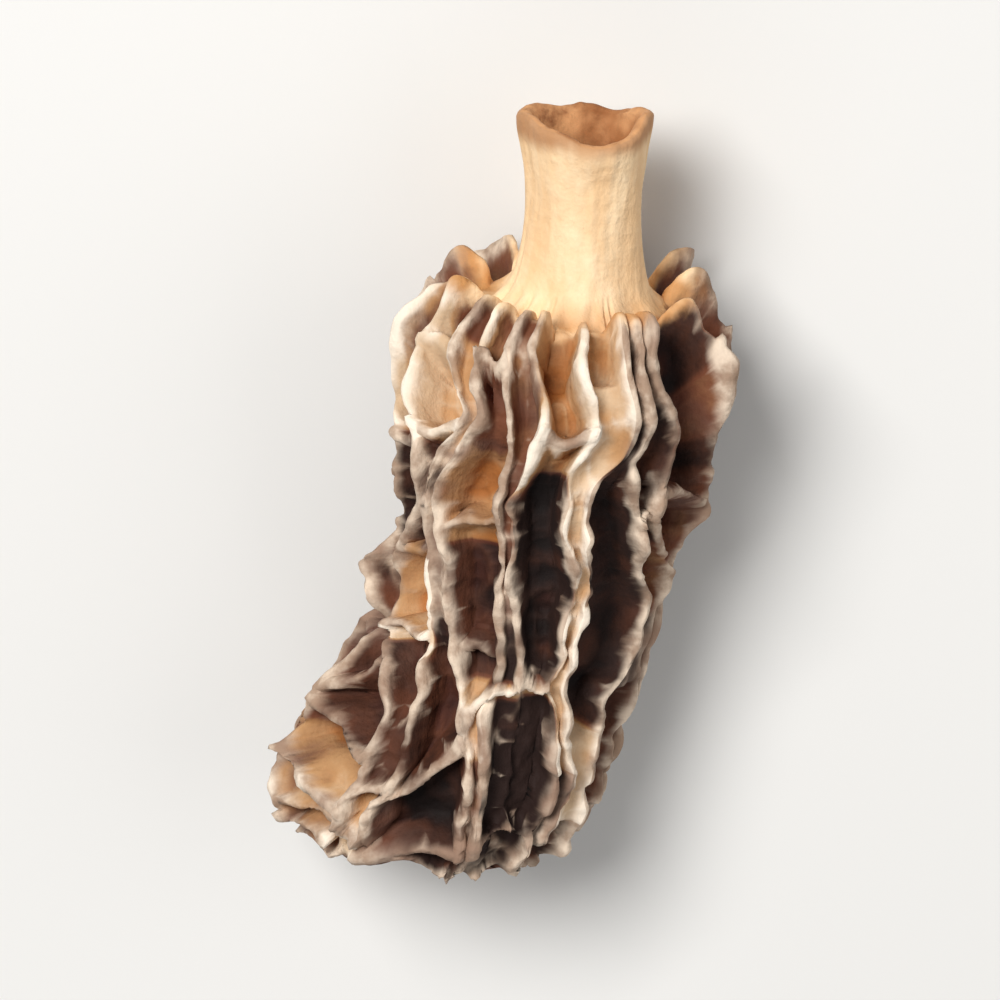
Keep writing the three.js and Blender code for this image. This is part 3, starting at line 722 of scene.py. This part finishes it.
def cap_veins(points, net):
    """Veins on the cap from 0 to 1: large and small ones, strongest in the pits, none on a rib's edge."""
    low = 1 - 0.6 * smooth((net - 0.3) / 0.4) - 0.4 * smooth((net - 0.8) / 0.15)
    return low * (0.67 * veins(points, 1.5, 21.0) + 0.33 * veins(points, 0.7, 33.0))


def wrinkles(points, net):
    """Depth of the dry wrinkles on the cap: soft lumps, and the veins."""
    soft = 0.08 * lumps(points, 0.9, 3.0) + 0.05 * lumps(points, 0.4, 9.0)
    return soft + 0.24 * cap_veins(points, net) - 0.06 * (1 - smooth((net - 0.5) / 0.4))


def stem_wrinkles(radians, height):
    """Depth of the stem's wrinkles: lumps drawn out eight times along the stem, and broad ones twice."""
    side = STEM_WRINKLE_RADIUS * np.sin(radians)
    front = STEM_WRINKLE_RADIUS * np.cos(radians)
    drawn = np.stack([front, side, height / 8 + 0 * radians], axis=-1)
    broad = np.stack([front, side, height / 2 + 0 * radians], axis=-1)
    return 0.05 * lumps(drawn, 0.35, 5.0) + 0.06 * lumps(broad, 1.2, 15.0)


def knobs(points, depth):
    """Lumps from -1 to 1 that come in toward the tip."""
    return smooth((depth - KNOBS_DEPTH) / 3) * lumps(points, 1.4, 71.0)


def inside_lumps(points, height):
    """Depth of the lumps of the flesh inside: 0.05 mm, and 0.3 mm more toward the mouth."""
    near_mouth = smooth((height - 3.5) / 4.5)
    return (0.05 + 0.3 * near_mouth) * lumps(points, 1.3, 3.0)


def crinkled(points, crinkle):
    """Points moved along their normals by the crinkle, which fades out over the rows beside both tips."""
    fade = np.ones(len(points))
    fade[:TIP_FADE_ROWS] = np.linspace(0, 1, TIP_FADE_ROWS)
    fade[-TIP_FADE_ROWS:] = np.linspace(1, 0, TIP_FADE_ROWS)
    return points + grid_normals(points) * (crinkle * fade[:, None])[..., None]


def mushroom_points():
    """Every ring of the skin, from the outer tip to the inner tip, with the values that colour it."""
    radius, depth, radians, net, tone = cap_grid()
    stem_radius, stem_depth, stem_radians = stem_grid()
    stem_part = column_parts(np.array([0.0])).reshape(1, -1)
    hollow_radius, hollow_depth, hollow_radians = hollow_grid(stem_radians[:1], stem_part)
    points = bent(
        np.concatenate([radius, stem_radius, hollow_radius]),
        np.concatenate([depth, stem_depth, hollow_depth]),
        np.concatenate([radians, stem_radians, hollow_radians]),
    )
    inside = CAP_ROWS + len(stem_radius)
    cap_knobs = knobs(points[:CAP_ROWS], depth)
    crinkle = np.concatenate([
        wrinkles(points[:CAP_ROWS], net) + KNOB_HEIGHT * cap_knobs,
        stem_wrinkles(stem_radians, -stem_depth),
        inside_lumps(points[inside:], -hollow_depth),
    ])
    points = crinkled(points, crinkle)
    cap_edge = np.minimum(net + 0.5 * cap_veins(points[:CAP_ROWS], net), 1)
    cap_tone = tone + 0.35 * lumps(points[:CAP_ROWS], 1.2, 57.0) + 0.8 * cap_knobs
    q = np.linspace(1, 0, CAP_ROWS + 1)[1:, None]
    cap_reach = -CAP_LENGTH * cap_place(q) + 0 * net
    edge = np.concatenate([cap_edge, np.full(stem_radius.shape, 0.5), np.zeros(hollow_radius.shape)])
    reach = np.concatenate([cap_reach, -stem_depth, -hollow_depth])
    tone = np.concatenate([cap_tone, np.ones(stem_radius.shape), np.zeros(hollow_radius.shape)])
    return laid(points), edge, reach, tone


def closed_mesh(name, points, start, end):
    """Mesh of rings joined by four-sided faces, closed by a fan at the start and at the end."""
    rows, columns = points.shape[:2]
    ring = np.arange(rows * columns).reshape(rows, columns)
    after = np.roll(ring, -1, axis=1)
    quads = np.stack([ring[:-1], after[:-1], after[1:], ring[1:]], axis=-1).reshape(-1, 4)
    first, last = rows * columns, rows * columns + 1
    start_fan = np.stack([np.full(columns, first), after[0], ring[0]], axis=-1)
    end_fan = np.stack([np.full(columns, last), ring[-1], after[-1]], axis=-1)
    corners = np.concatenate([points.reshape(-1, 3), [start], [end]])
    loops = np.concatenate([quads.ravel(), start_fan.ravel(), end_fan.ravel()])
    sizes = np.concatenate([np.full(len(quads), 4), np.full(2 * columns, 3)])
    mesh = bpy.data.meshes.new(name)
    mesh.vertices.add(len(corners))
    mesh.vertices.foreach_set("co", (corners * MM).ravel())
    mesh.loops.add(len(loops))
    mesh.loops.foreach_set("vertex_index", loops)
    mesh.polygons.add(len(sizes))
    mesh.polygons.foreach_set("loop_start", np.concatenate([[0], np.cumsum(sizes)[:-1]]))
    mesh.polygons.foreach_set("use_smooth", np.ones(len(sizes), bool))
    mesh.update(calc_edges=True)
    mesh.validate()
    return mesh


def add_values(mesh, name, values):
    """Keeps one number for each vertex on the mesh; the two fan tips take the nearest ring's mean."""
    flat = np.concatenate([values.ravel(), [values[0].mean()], [values[-1].mean()]])
    mesh.attributes.new(name, "FLOAT", "POINT").data.foreach_set("value", flat.astype(np.float32))


def make_morel():
    """The whole mushroom as one closed skin, flattened where it touches the surface."""
    points, edge, reach, tone = mushroom_points()
    points[..., 2] = np.maximum(points[..., 2], 0)
    start = points[0].mean(axis=0)
    end = points[-1].mean(axis=0)
    mesh = closed_mesh("morel_flesh", points, start, end)
    inner = np.zeros(edge.shape)
    inner[CAP_ROWS + STEM_ROWS + 2 :] = 1
    add_values(mesh, "edge", edge)
    add_values(mesh, "reach", reach)
    add_values(mesh, "tone", tone)
    add_values(mesh, "inner", inner)
    morel = bpy.data.objects.new("morel_flesh", mesh)
    bpy.context.scene.collection.objects.link(morel)
    return morel


def linear(colour):
    """A colour given as on a screen (0 to 255), as the light values that the shader takes."""
    value = np.array(colour) / 255
    low = value / 12.92
    high = ((value + 0.055) / 1.055) ** 2.4
    return tuple(float(v) for v in np.where(value <= 0.04045, low, high)) + (1.0,)


class Nodes:
    """Short ways to add shader nodes to a tree and to link them."""

    def __init__(self, tree):
        self.tree = tree

    def add(self, kind, **settings):
        node = self.tree.nodes.new(kind)
        for name, value in settings.items():
            setattr(node, name, value)
        return node

    def feed(self, socket, value):
        if isinstance(value, bpy.types.NodeSocket):
            self.tree.links.new(value, socket)
        else:
            socket.default_value = value

    def value(self, name):
        return self.add("ShaderNodeAttribute", attribute_name=name).outputs["Fac"]

    def math(self, operation, *inputs):
        node = self.add("ShaderNodeMath", operation=operation)
        for socket, value in zip(node.inputs, inputs):
            self.feed(socket, value)
        return node.outputs[0]

    def ramp(self, value, low, high):
        """0 below low, 1 above high and a smooth step between."""
        node = self.add("ShaderNodeMapRange", interpolation_type="SMOOTHSTEP")
        self.feed(node.inputs["Value"], value)
        node.inputs["From Min"].default_value = low
        node.inputs["From Max"].default_value = high
        return node.outputs["Result"]

    def blend(self, factor, first, second):
        node = self.add("ShaderNodeMix", data_type="RGBA")
        self.feed(node.inputs["Factor"], factor)
        self.feed(node.inputs[6], first)
        self.feed(node.inputs[7], second)
        return node.outputs[2]

    def drawn_out(self, place, squeeze):
        """Places squeezed along the mushroom, so that a pattern on them is drawn out that way."""
        node = self.add("ShaderNodeMapping", vector_type="POINT")
        node.inputs["Scale"].default_value = (1, squeeze, 1)
        self.feed(node.inputs["Vector"], place)
        return node.outputs["Vector"]

    def noise(self, place, scale, detail=3.0, roughness=0.55):
        node = self.add("ShaderNodeTexNoise")
        self.feed(node.inputs["Vector"], place)
        node.inputs["Scale"].default_value = scale
        node.inputs["Detail"].default_value = detail
        node.inputs["Roughness"].default_value = roughness
        return node.outputs["Fac"]


def cap_colour(nodes, edge, patches, specks):
    """Pit floors, sides and rib edges by height on the net, each from dark to pale with the flesh's tone.
    The dark pit floors and sides hold painted shade, and the cream and white rib edges a painted highlight.
    """
    tone = nodes.math("ADD", nodes.value("tone"), nodes.math("MULTIPLY", specks, 0.9))
    brown = nodes.ramp(tone, -0.6, 0.6)
    ochre = nodes.ramp(tone, 0.5, 1.6)
    pale = nodes.ramp(tone, 1.4, 2.0)
    # The dark end of the pits and their sides is painted shade on dark brown flesh.
    pit = nodes.blend(brown, linear(PIT_DARK_SHADE), linear(PIT_BROWN))
    pit = nodes.blend(ochre, pit, linear(PIT_OCHRE))
    pit = nodes.blend(pale, pit, linear(PIT_PALE))
    side = nodes.blend(nodes.ramp(patches, 0.45, 0.75), linear(SIDE_BROWN), linear(SIDE_GREY))
    side = nodes.blend(brown, linear(SIDE_DARK_SHADE), side)
    side = nodes.blend(ochre, side, linear(SIDE_OCHRE))
    side = nodes.blend(pale, side, linear(SIDE_PALE))
    # The cream and the white on the rib edges are a painted highlight on pale flesh.
    rib = nodes.blend(nodes.ramp(specks, 0.35, 0.65), linear(RIB_GREY), linear(RIB_CREAM_HIGHLIGHT))
    rib = nodes.blend(nodes.ramp(patches, 0.5, 0.7), rib, linear(RIB_BROWN))
    rib = nodes.blend(pale, rib, linear(RIB_WHITE_HIGHLIGHT))
    # Darker from the rib edges down to the pit floors: partly the flesh's own colour, partly painted shade in
    # the recesses.
    cap = nodes.blend(nodes.ramp(edge, 0.05, 0.45), pit, side)
    return nodes.blend(nodes.ramp(edge, 0.66, 0.93), cap, rib)


def stem_colour(nodes, place, reach, patches, grain):
    """Cream with tan bands lengthwise, ochre stains near the cap and a brown rim."""
    bands = nodes.ramp(nodes.noise(nodes.drawn_out(place, 0.12), 520), 0.4, 0.65)
    stem = nodes.blend(grain, linear(STEM_TAN), linear(STEM_CREAM))
    stem = nodes.blend(nodes.math("MULTIPLY", bands, 0.6), stem, linear(STEM_BAND))
    near_cap = nodes.math("SUBTRACT", 1, nodes.ramp(reach, 0.2, 2.2))
    stain = nodes.math("MULTIPLY", nodes.ramp(patches, 0.46, 0.62), near_cap)
    return nodes.blend(nodes.math("MULTIPLY", stain, 0.8), stem, linear(STEM_STAIN))


def inside_colour(nodes, reach, patches, specks):
    """Mottled tan flesh in the mouth, with painted shade that darkens it down the hollow."""
    flesh = nodes.blend(nodes.ramp(patches, 0.38, 0.62), linear(MOUTH_BROWN), linear(MOUTH_TAN))
    flesh = nodes.blend(nodes.ramp(specks, 0.5, 0.75), flesh, linear(MOUTH_SPECK))
    # Painted shade darkens the flesh down the hollow, away from the mouth.
    return nodes.blend(nodes.ramp(reach, 4.0, 8.0), linear(HOLLOW_SHADE), flesh)


def flesh_material():
    """Dried flesh: cap, stem and inside by where the skin is, with fine dry wrinkles.

    "edge" is the height on the net, "reach" the way up the stem (or, below 0, down the cap) along the
    skin, "tone" how light the flesh is, with painted shade in its darkest and a painted highlight in its
    whitest values, and "inner" the inside.
    """
    material = bpy.data.materials.new("dried_flesh_look")
    material.use_nodes = True
    nodes = Nodes(material.node_tree)
    shader = material.node_tree.nodes["Principled BSDF"]
    place = nodes.add("ShaderNodeTexCoord").outputs["Object"]
    edge = nodes.value("edge")
    reach = nodes.value("reach")
    patches = nodes.noise(place, 260)
    specks = nodes.noise(place, 700, 4.0)
    grain = nodes.noise(place, 1500, 4.0)
    cap = cap_colour(nodes, edge, patches, specks)
    stem = stem_colour(nodes, place, reach, patches, grain)
    spread = nodes.math("ADD", reach, nodes.math("MULTIPLY", edge, 1.8))
    spread = nodes.math("ADD", spread, nodes.math("MULTIPLY", specks, 1.4))
    colour = nodes.blend(nodes.ramp(spread, 0.4, 1.4), cap, stem)
    mouth = nodes.math("ADD", reach, nodes.math("MULTIPLY", patches, 1.2))
    rim = nodes.math("MULTIPLY", nodes.ramp(mouth, 8.9, 9.8), 0.8)
    colour = nodes.blend(rim, colour, linear(RIM_BROWN))
    colour = nodes.blend(nodes.value("inner"), colour, inside_colour(nodes, reach, patches, specks))
    nodes.feed(shader.inputs["Base Color"], colour)
    shader.inputs["Roughness"].default_value = 0.8
    shader.inputs["Specular IOR Level"].default_value = 0.3
    streaks = nodes.noise(nodes.drawn_out(place, 0.3), 1800, 3.0)
    relief = nodes.math("ADD", nodes.math("MULTIPLY", specks, 1.5), nodes.math("ADD", grain, streaks))
    bump = nodes.add("ShaderNodeBump")
    bump.inputs["Strength"].default_value = 0.8
    bump.inputs["Distance"].default_value = 0.00012
    nodes.feed(bump.inputs["Height"], relief)
    nodes.feed(shader.inputs["Normal"], bump.outputs["Normal"])
    return material


def make_floor():
    """A plain pale floor, level with what the mushroom lies on."""
    mesh = bpy.data.meshes.new("floor")
    mesh.from_pydata([(-2, -2, 0), (2, -2, 0), (2, 2, 0), (-2, 2, 0)], [], [(0, 1, 2, 3)])
    floor = bpy.data.objects.new("floor", mesh)
    bpy.context.scene.collection.objects.link(floor)
    material = bpy.data.materials.new("pale_floor")
    material.use_nodes = True
    shader = material.node_tree.nodes["Principled BSDF"]
    shader.inputs["Base Color"].default_value = linear(FLOOR_COLOUR)
    shader.inputs["Roughness"].default_value = 0.9
    floor.data.materials.append(material)


def add_light(name, place, size, watts):
    """A soft square light that looks at the mushroom."""
    lamp = bpy.data.lights.new(name, "AREA")
    lamp.size = size
    lamp.energy = watts
    light = bpy.data.objects.new(name, lamp)
    light.location = place
    light.rotation_euler = (Vector(CAMERA_TARGET) - Vector(place)).to_track_quat("-Z", "Y").to_euler()
    bpy.context.scene.collection.objects.link(light)


def make_lights():
    """Soft studio light: a key from the stem's side and two weaker fills."""
    add_light("key", (-0.16, 0.24, 0.42), 0.2, 2.7)
    add_light("fill", (0.34, 0.05, 0.28), 0.35, 0.4)
    add_light("low_fill", (-0.05, -0.38, 0.22), 0.30, 0.35)
    world = bpy.data.worlds.new("studio")
    world.use_nodes = True
    world.node_tree.nodes["Background"].inputs["Color"].default_value = (0.95, 0.97, 1.0, 1)
    world.node_tree.nodes["Background"].inputs["Strength"].default_value = 0.22
    bpy.context.scene.world = world
    bpy.context.scene.view_settings.view_transform = "Standard"


def make_camera():
    """Camera square to the floor but for a lean to the stem's side, with the stem up in the picture."""
    back = Vector((0, np.cos(CAMERA_ELEVATION), np.sin(CAMERA_ELEVATION)))
    up = Vector((0, np.sin(CAMERA_ELEVATION), -np.cos(CAMERA_ELEVATION)))
    right = Vector((1, 0, 0))
    place = Vector(CAMERA_TARGET) + back * CAMERA_DISTANCE
    camera = bpy.data.objects.new("camera", bpy.data.cameras.new("camera"))
    turn = Matrix((right, up, back)).transposed().to_4x4()
    camera.matrix_world = Matrix.Translation(place) @ turn
    camera.data.lens = CAMERA_LENS
    camera.data.clip_start = 0.01
    bpy.context.scene.collection.objects.link(camera)
    bpy.context.scene.camera = camera


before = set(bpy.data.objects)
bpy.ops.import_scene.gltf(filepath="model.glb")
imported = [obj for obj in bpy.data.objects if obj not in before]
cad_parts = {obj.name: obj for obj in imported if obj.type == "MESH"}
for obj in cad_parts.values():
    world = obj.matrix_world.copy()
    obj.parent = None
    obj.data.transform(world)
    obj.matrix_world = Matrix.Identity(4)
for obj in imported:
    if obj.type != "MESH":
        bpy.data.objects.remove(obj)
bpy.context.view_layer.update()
morel = make_morel()
morel.data.materials.append(flesh_material())
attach(morel, "root")
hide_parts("morel")
make_floor()
make_lights()
make_camera()
